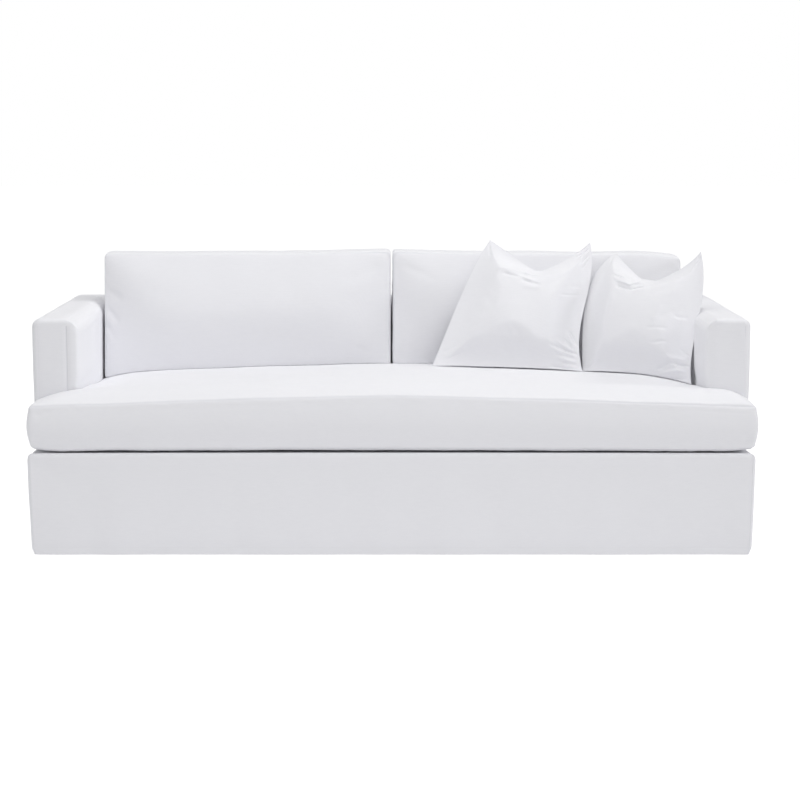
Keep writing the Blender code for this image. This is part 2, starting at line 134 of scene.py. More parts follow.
def creaseField(points, creases):
    # each crease is (start, end, width, height): a soft trough if the height is below 0, else a ridge
    total = np.zeros(len(points))
    for start, end, width, height in creases:
        start, end = np.array(start, float), np.array(end, float)
        line = end - start
        along = (points - start) @ line / (line @ line)
        nearest = start + np.clip(along, 0, 1)[:, None] * line
        away = np.linalg.norm(points - nearest, axis=1)
        fade = smoothStep(-0.15, 0.25, along) * (1 - smoothStep(0.75, 1.15, along))  # soft ends
        total += height * np.exp(-((away / width) ** 2)) * fade
    return total


def noiseField(points, scale, seed):
    shift = Vector((seed * 7.3, seed * 3.1, seed * 5.7))  # each seed reads another part of the noise
    return np.array([noise.noise(Vector(point) * scale + shift) for point in points])


# Camera and studio light

studio = {
    "cameraAt": (0, -6.32, 1.372),
    "cameraDown": 8.58,
    "lens": 85.43,
    "shiftX": 0.0106,
    "keyTurn": 83,  # degrees from the camera's side towards the right: it rakes over the front
    "keyHeight": 27,
    "keyStrength": 0.5,
    "keySoftness": 0.2,
    "panels": (
        {"at": (0.4, -0.9, 4.2), "tilt": 0, "size": (5, 3), "watts": 77},  # overhead
        {"at": (0, -6, 2.2), "tilt": 74, "size": (4, 2), "watts": 26},  # beside the camera
    ),
    "fill": 0.487,
    "backdrop": 1.0,
    "floorSize": 60,
    "floorDrop": 0.001,  # just below the cover's hem
    "floorColor": "#F7F7F8",
    "floorRoughness": 0.9,
    "floorGlow": 0.55,  # the floor stays white up to the cover's foot
}


def hexColor(code):  # sRGB hex to linear
    values = [int(code[i : i + 2], 16) / 255 for i in (1, 3, 5)]
    return [v / 12.92 if v <= 0.04045 else ((v + 0.055) / 1.055) ** 2.4 for v in values]


def addNode(tree, kind, settings=None, inputs=None, links=None):
    node = tree.nodes.new(kind)
    for key, value in (settings or {}).items():
        setattr(node, key, value)
    for key, value in (inputs or {}).items():
        node.inputs[key].default_value = value
    for key, source in (links or {}).items():
        tree.links.new(source, node.inputs[key])
    return node


bpy.ops.object.camera_add(
    location=studio["cameraAt"], rotation=(math.pi / 2 - math.radians(studio["cameraDown"]), 0, 0)
)
camera = bpy.context.active_object
camera.data.sensor_width = 36
camera.data.lens = studio["lens"]
camera.data.shift_x = studio["shiftX"]
bpy.context.scene.camera = camera

turn, height = math.radians(studio["keyTurn"]), math.radians(studio["keyHeight"])
towardsKey = Vector((math.sin(turn) * math.cos(height), -math.cos(turn) * math.cos(height), math.sin(height)))
keyAngles = towardsKey.to_track_quat("Z", "Y").to_euler()
bpy.ops.object.light_add(type="SUN", location=towardsKey * 6, rotation=keyAngles)
keyLight = bpy.context.active_object
keyLight.data.energy = studio["keyStrength"]
keyLight.data.angle = studio["keySoftness"]

for panel in studio["panels"]:
    bpy.ops.object.light_add(type="AREA", location=panel["at"], rotation=(math.radians(panel["tilt"]), 0, 0))
    panelLight = bpy.context.active_object
    panelLight.visible_camera = False
    panelLight.data.shape = "RECTANGLE"
    panelLight.data.size, panelLight.data.size_y = panel["size"]
    panelLight.data.energy = panel["watts"]

world = bpy.data.worlds.new("studio")
bpy.context.scene.world = world
world.use_nodes = True
sky = world.node_tree
sky.nodes.clear()
white = (1, 1, 1, 1)
fillLight = addNode(sky, "ShaderNodeBackground", inputs={"Color": white, "Strength": studio["fill"]})
backdrop = addNode(sky, "ShaderNodeBackground", inputs={"Color": white, "Strength": studio["backdrop"]})
rays = addNode(sky, "ShaderNodeLightPath")
skyMix = addNode(sky, "ShaderNodeMixShader", links={0: rays.outputs["Is Camera Ray"]})
sky.links.new(fillLight.outputs[0], skyMix.inputs[1])
sky.links.new(backdrop.outputs[0], skyMix.inputs[2])
addNode(sky, "ShaderNodeOutputWorld", links={"Surface": skyMix.outputs[0]})
bpy.context.scene.view_settings.view_transform = "Standard"

bpy.ops.mesh.primitive_plane_add(size=studio["floorSize"], location=(0, 0, -studio["floorDrop"]))
floor = bpy.context.active_object
floor.name = "studio_floor"
floorPaint = bpy.data.materials.new("matt studio paint")
floorPaint.use_nodes = True
paintTree = floorPaint.node_tree
floorShader = paintTree.nodes["Principled BSDF"]
floorShader.inputs["Base Color"].default_value = (*hexColor(studio["floorColor"]), 1)
floorShader.inputs["Roughness"].default_value = studio["floorRoughness"]
floorShader.inputs["Emission Color"].default_value = white
glow = addNode(
    paintTree,
    "ShaderNodeMath",
    {"operation": "MULTIPLY"},
    {1: studio["floorGlow"]},
    {0: addNode(paintTree, "ShaderNodeLightPath").outputs["Is Camera Ray"]},
)
paintTree.links.new(glow.outputs[0], floorShader.inputs["Emission Strength"])
floor.data.materials.append(floorPaint)
print("studio made")


# Cloth

cottonCanvas = {
    "light": "#F4F4F7",  # bleached cotton, very slightly cool
    "dark": "#EFEFF3",
    # painted shade for sewn lines, the hem and the scatter cushions' edges, standing in for the shadow in
    # their grooves
    "seamPaintedShade": "#D6D6DC",
    "threadMm": 1.5,  # a thread's width, half the way to the next: coarser than real, or none would show
    "threadWander": 0.6,
    "slubMm": 26,
    "slubSlim": 7,  # slubs lie level, this many times longer than high
    "rumpleMm": 70,
    "roughness": 0.9,  # matt, with the faint bloom of loose fibres
    "sheen": 0.18,
    "sheenRoughness": 0.5,
    "specular": 0.3,
}


def makeCanvas(name, weaveDepth, rumpleDepth):
    # woven cotton canvas: matt, soft at grazing angles, threads both ways with thicker slubs here and there
    material = bpy.data.materials.new(name)
    material.use_nodes = True
    tree = material.node_tree
    shader = tree.nodes["Principled BSDF"]
    shader.inputs["Roughness"].default_value = cottonCanvas["roughness"]
    shader.inputs["Sheen Weight"].default_value = cottonCanvas["sheen"]
    shader.inputs["Sheen Roughness"].default_value = cottonCanvas["sheenRoughness"]
    shader.inputs["Specular IOR Level"].default_value = cottonCanvas["specular"]
    where = addNode(tree, "ShaderNodeTexCoord").outputs["Object"]
    threads = []
    threadScale = 1000 / cottonCanvas["threadMm"] / 20 * math.pi  # at scale 1 half a wave is pi / 20 long
    for direction in ("X", "Y", "Z"):  # on each flat side two of the three show, as warp and weft
        wave = addNode(
            tree,
            "ShaderNodeTexWave",
            {"wave_type": "BANDS", "bands_direction": direction, "wave_profile": "SIN"},
            {"Scale": threadScale, "Distortion": cottonCanvas["threadWander"], "Detail": 1.0},
            {"Vector": where},
        )
        threads.append(wave.outputs["Fac"])
    warp = addNode(tree, "ShaderNodeMath", {"operation": "ADD"}, links={0: threads[0], 1: threads[1]})
    weave = addNode(tree, "ShaderNodeMath", {"operation": "ADD"}, links={0: warp.outputs[0], 1: threads[2]})
    slubScale = (1, 1, cottonCanvas["slubSlim"])
    stretched = addNode(tree, "ShaderNodeMapping", inputs={"Scale": slubScale}, links={"Vector": where})
    slubs = addNode(
        tree,
        "ShaderNodeTexNoise",
        inputs={"Scale": 1000 / cottonCanvas["slubMm"], "Detail": 3, "Roughness": 0.6},
        links={"Vector": stretched.outputs[0]},
    )
    rumple = addNode(
        tree,
        "ShaderNodeTexNoise",
        inputs={"Scale": 1000 / cottonCanvas["rumpleMm"], "Detail": 3, "Roughness": 0.5},
        links={"Vector": where},
    )
    tone = addNode(
        tree,
        "ShaderNodeMix",
        {"data_type": "RGBA"},
        {"A": (*hexColor(cottonCanvas["dark"]), 1), "B": (*hexColor(cottonCanvas["light"]), 1)},
        {"Factor": slubs.outputs["Fac"]},
    )
    # painted shade along the sewn lines, read from each point's stored amount
    paintedShadeAtSeam = addNode(tree, "ShaderNodeAttribute", {"attribute_name": "seamPaintedShade"})
    shaded = addNode(
        tree,
        "ShaderNodeMix",
        {"data_type": "RGBA"},
        {"B": (*hexColor(cottonCanvas["seamPaintedShade"]), 1)},
        {"Factor": paintedShadeAtSeam.outputs["Fac"], "A": tone.outputs["Result"]},
    )
    tree.links.new(shaded.outputs["Result"], shader.inputs["Base Color"])
    bumps = addNode(
        tree,
        "ShaderNodeBump",
        inputs={"Distance": weaveDepth, "Strength": 1.0},
        links={"Height": weave.outputs[0]},
    )
    slubBumps = addNode(  # slubs stand out further than the threads
        tree,
        "ShaderNodeBump",
        inputs={"Distance": weaveDepth * 1.5, "Strength": 0.6},
        links={"Height": slubs.outputs["Fac"], "Normal": bumps.outputs[0]},
    )
    rumples = addNode(
        tree,
        "ShaderNodeBump",
        inputs={"Distance": rumpleDepth, "Strength": 0.5},
        links={"Height": rumple.outputs["Fac"], "Normal": slubBumps.outputs[0]},
    )
    tree.links.new(rumples.outputs[0], shader.inputs["Normal"])
    return material


coverCloth = makeCanvas("white cotton canvas, cover", weaveDepth=0.00005, rumpleDepth=0.001)
cushionCloth = makeCanvas("white cotton canvas, cushions", weaveDepth=0.00005, rumpleDepth=0.0014)
scatterCloth = makeCanvas("white cotton canvas, scatter cushions", weaveDepth=0.00006, rumpleDepth=0.0016)


def dress(obj, cloth, slotName, *nodes):
    obj.data.materials.clear()
    obj.data.materials.append(cloth)
    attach(obj, "root")
    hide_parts(*nodes)


# stores how much painted shade each point takes, for the cloth's colour
def paintSeamShade(obj, values):
    layer = obj.data.attributes.new("seamPaintedShade", "FLOAT", "POINT")
    layer.data.foreach_set("value", np.asarray(values, np.float32))


# The fitted cover, one skin that is then parted into its panels

cover = {
    "halfWidth": 1.14,
    "front": -0.488,
    "back": 0.5,
    "deck": 0.318,
    "rail": 0.731,
    "armInner": 1.0,
    "armFront": -0.354,
    "backFace": 0.312,
    "recline": 0.05,
    "innerRadius": 0.047,  # arms' inner top edges are padded
    "frontInnerRadius": 0.011,
    "frontTopRadius": 0.015,
    "topRadius": 0.028,
    "rightEdgeRadius": 0.026,  # the right arm's front turns softly into its outside
    "radius": 0.018,
    "cornerRadius": 0.012,
    "apronRadius": 0.006,
    "step": 0.017,
    "cloth": 0.0025,
    "apronSeam": -0.468,
    "endSeam": 1.119,
    "cornerSeam": 1.129,  # down the front corners of the skirt
    "innerSeam": 1.029,
    "railSeam": 0.709,
    "seamLoop": 0.003,
    "seamDepth": 0.0015,
    "lip": 0.0042,  # the apron's top seam stands a little above the deck, most in the middle
    "lipArch": 0.0018,
    "turn": 0.0035,  # the arm fronts lean back between the inner seam and the corner
    "puff": (0.008, 0.005),  # the arms' padding swells inwards at the front, left and right
    "hem": 0.022,
    "hemPull": 0.0005,
    "taper": 0.004,
    "footTuck": 0.008,  # the hem's corners turn in a little, over the lowest part
    "footHeight": 0.02,
    "ripple": 0.0014,  # small waves of the loose cloth, wide and fine
    "fineRipple": 0.0005,
    "sway": 0.003,
    "swayTop": 0.28,  # long waves grow from this height down to the hem
    "cutMargin": 0.03,
    "armCuts": (1.045, 1.06, 1.075, 1.09, 1.105),  # across the arm tops
    "earCuts": (-0.45, -0.43, -0.41, -0.39, -0.37),  # in front of the arms
    # how much each seam shows, 0 to 1: its draw-in and its painted shade
    "innerSeamShows": {"left": 1, "right": 0},
    "endSeamShows": {"left": 0.2, "right": 0.1},
    "apronSeamShows": {"left": 0.15, "right": 0.9},
}
# Creases: start, end, width, height. Skirt folds are deepest at the hem, pulls start at corners and seams
coverCreases = [
    ((-0.93, -0.488, 0.0), (-0.95, -0.488, 0.26), 0.05, -0.0018),
    ((-0.52, -0.488, 0.0), (-0.5, -0.488, 0.24), 0.07, -0.0015),
    ((-0.12, -0.488, 0.0), (-0.1, -0.488, 0.2), 0.08, -0.0014),
    ((0.33, -0.488, 0.0), (0.31, -0.488, 0.23), 0.06, -0.0015),
    ((0.72, -0.488, 0.0), (0.74, -0.488, 0.25), 0.07, -0.0016),
    ((1.0, -0.488, 0.0), (0.98, -0.488, 0.24), 0.045, -0.0018),
    ((0.13, -0.488, 0.072), (0.36, -0.488, 0.068), 0.007, -0.0014),
    ((-1.11, -0.488, 0.29), (-0.98, -0.488, 0.2), 0.016, -0.0018),
    ((1.11, -0.488, 0.29), (0.99, -0.488, 0.22), 0.016, -0.0018),
    ((-1.1, -0.488, 0.02), (-1.03, -0.488, 0.11), 0.014, -0.0016),
    ((1.1, -0.488, 0.02), (1.04, -0.488, 0.1), 0.014, -0.0016),
    ((1.015, -0.355, 0.695), (1.04, -0.353, 0.722), 0.007, -0.0035),
    ((1.003, -0.335, 0.7), (1.03, -0.35, 0.727), 0.007, 0.0035),
    ((1.04, -0.354, 0.69), (1.1, -0.354, 0.55), 0.014, -0.0014),
    ((-1.04, -0.354, 0.69), (-1.1, -0.354, 0.57), 0.014, -0.0014),
    ((-1.14, -0.3, 0.0), (-1.14, -0.28, 0.5), 0.06, -0.004),
    ((-1.14, 0.05, 0.0), (-1.14, 0.03, 0.4), 0.07, -0.0045),
    ((-1.14, 0.33, 0.0), (-1.14, 0.35, 0.55), 0.06, -0.004),
    ((1.14, -0.33, 0.0), (1.14, -0.3, 0.45), 0.06, -0.0042),
    ((1.14, 0.0, 0.0), (1.14, 0.02, 0.5), 0.07, -0.004),
    ((1.14, 0.31, 0.0), (1.14, 0.29, 0.5), 0.06, -0.0045),
    ((-1.14, -0.33, 0.68), (-1.14, -0.18, 0.52), 0.016, -0.0018),
    ((1.14, -0.33, 0.68), (1.14, -0.16, 0.54), 0.016, -0.0018),
    ((-1.14, 0.46, 0.68), (-1.14, 0.34, 0.56), 0.016, -0.0018),
    ((1.14, 0.46, 0.68), (1.14, 0.36, 0.55), 0.016, -0.0018),
    ((-0.85, 0.5, 0.0), (-0.84, 0.5, 0.6), 0.08, -0.005),
    ((-0.42, 0.5, 0.0), (-0.4, 0.5, 0.5), 0.09, -0.0045),
    ((-0.03, 0.5, 0.0), (0.0, 0.5, 0.62), 0.08, -0.005),
    ((0.44, 0.5, 0.0), (0.43, 0.5, 0.5), 0.09, -0.0045),
    ((0.86, 0.5, 0.0), (0.87, 0.5, 0.58), 0.08, -0.005),
    ((-1.08, 0.5, 0.69), (-0.86, 0.5, 0.5), 0.022, -0.0022),
    ((1.08, 0.5, 0.69), (0.88, 0.5, 0.52), 0.022, -0.0022),
    ((-1.07, -0.2, 0.731), (-1.06, 0.2, 0.731), 0.05, -0.003),
    ((1.07, -0.2, 0.731), (1.06, 0.2, 0.731), 0.05, -0.003),
]


def makeSkin():
    low = (-cover["halfWidth"], cover["front"], 0)
    high = (cover["halfWidth"], cover["back"], cover["deck"])
    skin = addBox("cover_skin", low, high)
    bpy.ops.object.mode_set(mode="EDIT")
    for value in (-cover["armInner"], cover["armInner"]):
        cutAt(0, value)
    for value in (cover["armFront"], cover["backFace"]):
        cutAt(1, value)
    selectFaces(
        skin,
        lambda at, out: out.z > squareOn
        and (at.y > cover["backFace"] or (abs(at.x) > cover["armInner"] and at.y > cover["armFront"])),
    )
    bpy.ops.mesh.extrude_region_move(TRANSFORM_OT_translate={"value": (0, 0, cover["rail"] - cover["deck"])})
    bpy.ops.object.mode_set(mode="OBJECT")
    for vert in skin.data.vertices:  # the inside back leans
        onTop = vert.co.z > cover["rail"] - closeBy
        atFace = abs(vert.co.y - cover["backFace"]) < closeBy
        if onTop and atFace and abs(vert.co.x) < cover["armInner"] + closeBy:
            vert.co.y += cover["recline"]
    bpy.ops.object.mode_set(mode="EDIT")
    selectFaces(skin, lambda at, out: out.z < -squareOn)
    bpy.ops.mesh.delete(type="FACE")
    bpy.ops.mesh.select_all(action="SELECT")
    bpy.ops.mesh.dissolve_limited(angle_limit=0.001)
    bpy.ops.object.mode_set(mode="OBJECT")
    weighEdges(skin)
    widest = cover["innerRadius"]
    finishWith(skin, "BEVEL", limit_method="WEIGHT", width=widest, segments=5, use_clamp_overlap=True)
    return skin


def weighEdges(skin):
    # how strongly each outer edge is rounded, as a share of the widest radius
    bm = bmesh.new()
    bm.from_mesh(skin.data)
    bm.normal_update()
    layer = bm.edges.layers.float.get("bevel_weight_edge") or bm.edges.layers.float.new("bevel_weight_edge")
    backTop = cover["backFace"] + cover["recline"]
    for edge in bm.edges:
        if len(edge.link_faces) != 2 or edge.calc_face_angle_signed() < 0.6:  # flat or hollow
            continue
        ends = [vert.co for vert in edge.verts]
        level = abs(ends[0].z - ends[1].z) < closeBy
        atFront = all(abs(end.y - cover["front"]) < closeBy for end in ends)
        atArmFront = all(abs(end.y - cover["armFront"]) < closeBy for end in ends)
        atArmInner = all(abs(abs(end.x) - cover["armInner"]) < closeBy for end in ends)
        onArmTop = all(end.z > cover["rail"] - closeBy for end in ends)
        onArmTop = onArmTop and all(abs(end.x) > cover["armInner"] - closeBy for end in ends)
        if atArmInner and all(end.y < backTop + closeBy for end in ends):
            radius = cover["innerRadius"] if level else cover["frontInnerRadius"]
        elif atFront and all(abs(end.x) > cover["halfWidth"] - closeBy for end in ends):
            radius = cover["cornerRadius"]
        elif atFront:
            radius = cover["apronRadius"]
        elif onArmTop:
            radius = cover["frontTopRadius"] if atArmFront else cover["topRadius"]
        elif atArmFront and all(end.x > cover["halfWidth"] - closeBy for end in ends):
            radius = cover["rightEdgeRadius"]
        else:
            radius = cover["radius"]
        edge[layer] = radius / cover["innerRadius"]
    bm.to_mesh(skin.data)
    bm.free()


def cutSkin(skin):
    # even rows over the faces, and three close rows that let each seam draw in
    margin, loop = cover["cutMargin"], cover["seamLoop"]
    pickOnly(skin)
    bpy.ops.object.mode_set(mode="EDIT")
    cutEvenly(0, -cover["armInner"] + margin, cover["armInner"] - margin, cover["step"])
    for side in (-1, 1):
        for value in cover["armCuts"]:
            cutAt(0, side * value)
        for seam in (cover["endSeam"], cover["cornerSeam"], cover["innerSeam"]):
            for offset in (-loop, 0, loop):
                cutAt(0, side * (seam + offset))
        cutAt(0, side * (cover["armInner"] - loop))
    cutEvenly(1, cover["armFront"] + margin, cover["back"] - 0.02, cover["step"])
    for value in cover["earCuts"]:
        cutAt(1, value)
    for offset in (-loop, 0, loop):
        cutAt(1, cover["apronSeam"] + offset)
        cutAt(2, cover["railSeam"] + offset)
    cutAt(2, cover["deck"] + 0.0005)
    cutAt(2, cover["deck"] + loop)
    cutEvenly(2, margin, cover["railSeam"] - 0.01, cover["step"])
    for value in (0.004, cover["hem"] - loop, cover["hem"], cover["hem"] + loop):
        cutAt(2, value)
    bpy.ops.object.mode_set(mode="OBJECT")


def panelOf(at, out):
    across = abs(at.x)
    side = "left" if at.x < 0 else "right"
    aboveDeck = at.z > cover["deck"]
    belowRail = at.z < cover["railSeam"]
    if at.y < cover["apronSeam"] and at.z < cover["deck"] + closeBy and across < cover["cornerSeam"]:
        return "front_apron"
    if out.z > squareOn and abs(at.z - cover["deck"]) < 0.002 and across < cover["endSeam"]:
        return "deck"
    inside = at.y < cover["back"] - 0.03 or at.z > cover["railSeam"]
    betweenArms = across < cover["armInner"] - 0.0001
    if inside and betweenArms and aboveDeck and at.y > cover["backFace"] - 0.01:
        return "inside_back"
    atBack = out.y > squareOn and at.y > cover["back"] - 0.012
    if atBack and belowRail and across < cover["endSeam"]:
        return "outside_back"
    onArmFront = out.y < -squareOn and abs(at.y - cover["armFront"]) < 0.012 and aboveDeck
    if onArmFront and belowRail and cover["innerSeam"] < across < cover["endSeam"]:
        return "arm_front_" + side
    if at.z > cover["railSeam"] or (across < cover["innerSeam"] and aboveDeck):
        return "arm_wrap_" + side
    return "outside_arm_" + side


def seamPull(x, y, z):
    # how strongly each seam draws in and takes painted shade, not at all along the top of the arm fronts
    inner, end, apron = cover["innerSeamShows"], cover["endSeamShows"], cover["apronSeamShows"]
    pull = np.ones(len(x))
    onLeft = x < 0
    onFront = (np.abs(y - cover["armFront"]) < 0.03) & (z > cover["deck"])
    pull[onFront & (z > cover["railSeam"] - 0.002)] = 0
    upright = onFront & (z < cover["railSeam"] - 0.002)
    byInner = upright & (np.abs(x) < cover["armInner"] + 0.06)
    byEnd = upright & ~byInner
    pull[byInner] = np.where(onLeft, inner["left"], inner["right"])[byInner]
    nearTop = smoothStep(0.66, 0.7, z)  # the right arm's outer seam shows only near its top
    pull[byEnd] = np.where(onLeft, end["left"], end["right"] + (1 - end["right"]) * nearTop)[byEnd]
    onApron = (y < cover["apronSeam"]) & (z < cover["deck"])
    pull[onApron] = np.where(onLeft, apron["left"], apron["right"])[onApron]
    return pull


def drapeSkin(skin):
    mesh = skin.data
    points, normals = pointsOf(mesh)
    x, y, z = points.T
    # the line between two panels
    names = [panelOf(face.center, face.normal) for face in mesh.polygons]
    panelsAt = [set() for _ in mesh.vertices]
    for face, name in zip(mesh.polygons, names):
        for index in face.vertices:
            panelsAt[index].add(name)
    onSeam = np.array([len(found) > 1 for found in panelsAt], float) * seamPull(x, y, z)
    free = (z < cover["deck"] - 0.03) | (y > cover["back"] - 0.03) | (np.abs(x) > cover["halfWidth"] - 0.02)
    depth = creaseField(points, coverCreases)
    wide = noiseField(points * [1, 1, 0.45], 9, 1) * cover["ripple"]
    fine = noiseField(points * [1, 1, 0.6], 24, 2) * cover["fineRipple"]
    ripple = wide + fine
    depth = depth + np.where(free, ripple - 0.0006, ripple * 0.35 - 0.0003)  # less where it lies on the frame
    low = 1 - smoothStep(0, cover["swayTop"], z)
    sway = noiseField(points * [1, 1, 0], 6.5, 3) * cover["sway"] - 0.002
    depth = depth + low * sway
    hemLine = np.exp(-(((z - cover["hem"]) / 0.0025) ** 2)) * cover["hemPull"]  # its stitches pull in
    depth = depth - hemLine - onSeam * cover["seamDepth"]
    hidden = (np.abs(z - cover["deck"]) < 0.002) & (normals[:, 2] > squareOn)
    depth = np.where(hidden, -snug, depth)
    outward = normals.copy()
    outward[z < 0.03, 2] = 0  # the hem stays level
    moved = points + outward * depth[:, None]
    side = np.sign(x)
    nearEnd = smoothStep(cover["armInner"], cover["halfWidth"], np.abs(x))
    below = np.clip(1 - z / cover["deck"], 0, 1)
    moved[:, 0] -= side * cover["taper"] * below * nearEnd
    footHeight = cover["footHeight"]
    turned = (y < cover["front"] + 0.03) & (z < footHeight)
    atCorner = smoothStep(cover["halfWidth"] - 0.035, cover["halfWidth"], np.abs(x)) * (1 - z / footHeight)
    moved[:, 0] -= np.where(turned, side * cover["footTuck"] * np.clip(atCorner, 0, 1), 0)
    onArmFront = smoothStep(cover["deck"], cover["deck"] + 0.04, z) * (y < cover["armFront"] + 0.05)
    inward = 1 - smoothStep(cover["armInner"] + cover["seamLoop"], cover["innerSeam"], np.abs(x))
    moved[:, 1] += onArmFront * cover["turn"] * inward
    # the padding fills the upper part of the arm's inside and runs out towards the back
    padding = smoothStep(0.51, 0.55, z) * (1 - smoothStep(0.69, 0.73, z)) * (1 - smoothStep(-0.15, 0.08, y))
    swell = padding * np.where(x < 0, cover["puff"][0], -cover["puff"][1])
    moved[:, 0] += np.where(np.abs(x) < cover["armInner"] + 0.02, swell, 0)
    lip = cover["lip"] + cover["lipArch"] * (1 - (x / cover["halfWidth"]) ** 2)
    lip = lip * (1 - smoothStep(cover["front"] + 0.012, cover["front"] + 0.04, y))
    moved[:, 2] += np.where(z > cover["deck"] - 0.012, lip, 0)
    moved[:, 2] = np.maximum(moved[:, 2], 0.0002)
    setPoints(mesh, moved)
    # painted shade along the sewn lines and, faintly, along the hem's stitched line
    hemPaintedShade = np.clip(hemLine / cover["hemPull"], 0, 1) * 0.06
    paintSeamShade(skin, onSeam * seamPaintedShade + hemPaintedShade)
    return names


def partPanels(skin, names):
    panels = {}
    labels = {name: index for index, name in enumerate(sorted(set(names)))}
    layer = skin.data.attributes.new("panel", "INT", "FACE")
    layer.data.foreach_set("value", [labels[name] for name in names])
    for name, label in labels.items():
        pickOnly(skin)
        bpy.ops.object.duplicate()
        panel = bpy.context.active_object
        panel.name = name + "_cloth"
        bm = bmesh.new()
        bm.from_mesh(panel.data)
        mark = bm.faces.layers.int.get("panel")
        others = [face for face in bm.faces if face[mark] != label]
        bmesh.ops.delete(bm, geom=others, context="FACES")
        bm.to_mesh(panel.data)
        bm.free()
        finishWith(panel, "SOLIDIFY", thickness=cover["cloth"], offset=-1)
        smoothByAngle(panel, 50)
        panels[name] = panel
    bpy.data.objects.remove(skin)
    return panels


coverSkin = makeSkin()
cutSkin(coverSkin)
panelNames = drapeSkin(coverSkin)
print("cover skin:", len(coverSkin.data.polygons), "faces")
for name, panel in partPanels(coverSkin, panelNames).items():
    dress(panel, coverCloth, "cover_cloth", name)
    print("panel", name, len(panel.data.polygons), "faces")


# The seat cushion, one bench cushion with an ear in front of each arm

seat = {
    "halfLength": 1.139,
    "front": -0.497,
    "back": 0.3116,
    "seamAtEnd": 0.4715,
    "seamRise": 0.035,
    "seamPeak": 1.25,  # 1 is a straight rise to the middle, 2 an even curve
    "crown": 0.037,
    "crownReach": 0.23,
    "earSpan": 0.14,
    "earReach": 0.15,  # over this the crown's edge swings in behind the ears
    "sag": 0.016,  # behind the front part, where people sit
    "frontLift": 0.008,
    "frontArch": 0.005,
    "endLift": 0.008,
    "liftReach": 0.09,
    "underTuck": 0.014,  # the front's lower edge rolls under
    "rightEar": 0.014,
    "rightEarOut": 0.006,  # the right ear is the fuller one
    "bulge": 0.011,
    "seamCrease": 0.55,
    "underCrease": 0.2,
    "seamDepth": 0.002,
    "seed": 11,
    "softness": 0.0022,
    "step": 0.09,
    "edgeCuts": (0.02, 0.07),  # rows this far in from the outer edges
    "notchCut": 0.015,  # and this far from the arms' corners
    "boxingCuts": (0.14, 0.4, 0.65, 0.86),  # shares of the boxing's height
}
seatCreases = [
    ((-0.98, -0.506, 0.36), (-0.8, -0.506, 0.35), 0.012, -0.0016),
    ((0.55, -0.506, 0.37), (0.86, -0.506, 0.362), 0.012, -0.0016),
    ((0.12, -0.506, 0.352), (0.4, -0.506, 0.356), 0.01, -0.0012),
    ((1.09, -0.5, 0.36), (1.14, -0.46, 0.38), 0.01, -0.003),
    ((1.06, -0.5, 0.47), (1.12, -0.49, 0.475), 0.008, -0.003),
    ((-1.06, -0.5, 0.46), (-1.11, -0.49, 0.44), 0.012, -0.0012),
    ((-1.02, -0.36, 0.5), (-0.9, -0.2, 0.51), 0.05, -0.003),
    ((0.99, -0.33, 0.52), (0.88, -0.22, 0.52), 0.04, -0.002),
    ((-0.75, -0.2, 0.53), (-0.35, -0.28, 0.54), 0.09, -0.003),
    ((0.35, -0.25, 0.54), (0.8, -0.18, 0.53), 0.09, -0.0035),
]


def seatSeam(x):
    return seat["seamAtEnd"] + seat["seamRise"] * (1 - abs(x / seat["halfLength"]) ** seat["seamPeak"])


def seatTop(x, y):
    reachOut = seat["halfLength"]
    if y > cover["armFront"]:
        reachOut = cover["armInner"] + seat["earSpan"] * math.exp(-(y - cover["armFront"]) / seat["earReach"])
    inwards = min(reachOut - abs(x), y - seat["front"], cover["backFace"] - y)
    crown = seat["crown"] * riseFromEdge(inwards, seat["crownReach"])
    ear = seat["rightEar"] * smoothStep(cover["armInner"] - 0.02, cover["halfWidth"] - 0.05, x)
    ear = ear * riseFromEdge(inwards, 0.07)
    return float(seatSeam(x) + crown + ear - seat["sag"] * smoothStep(-0.15, 0.1, y))


def gripLine(obj, name, wanted):  # marks the points of a sewn line, for after the subdivision
    group = obj.vertex_groups.new(name=name)
    group.add([vert.index for vert in obj.data.vertices if wanted(vert.co)], 1.0, "REPLACE")


def gripOf(obj, name):
    index = obj.vertex_groups[name].index
    values = np.zeros(len(obj.data.vertices))
    for vert in obj.data.vertices:
        for entry in vert.groups:
            if entry.group == index:
                values[vert.index] = entry.weight
    return values


sewing = {
    "lineWidth": 0.16,  # the sewn line's width, as a share of the grip that fades out beside it
    "swellAt": 0.55,  # where beside the line the cloth stands up, and how widely
    "swellWidth": 0.3,
    "swell": 0.0007,
    "pucker": 0.0011,
    "puckerScale": 34,
    "finePucker": 0.0004,
    "finePuckerScale": 80,
    "rumpleScale": 5,
    "fineRumple": 0.3,  # as a share of the softness
    "fineRumpleScale": 13,
}


def sewSeam(obj, depth, creases, seed, softness, pullAt):
    # pulls the sewn line in, puckers the cloth beside it, adds the creases and paints shade along the line
    points, normals = pointsOf(obj.data)
    grip = gripOf(obj, "seam")  # 1 on the line, 0 away from it
    pull = pullAt(points)
    line = np.exp(-(((1 - grip) / sewing["lineWidth"]) ** 2))
    beside = np.exp(-(((grip - sewing["swellAt"]) / sewing["swellWidth"]) ** 2)) * (grip > 0.02)
    pucker = noiseField(points, sewing["puckerScale"], seed) * sewing["pucker"]
    pucker = pucker + noiseField(points, sewing["finePuckerScale"], seed + 1) * sewing["finePucker"]
    wide = noiseField(points, sewing["rumpleScale"], seed + 2) * softness
    fine = noiseField(points, sewing["fineRumpleScale"], seed + 3) * softness * sewing["fineRumple"]
    sewn = pull * (beside * (sewing["swell"] + pucker) - line * depth)
    out = creaseField(points, creases) + sewn + (wide + fine)
    setPoints(obj.data, points + normals * out[:, None])
    # painted shade along the sewn line
    paintSeamShade(obj, line * pull * seamPaintedShade)


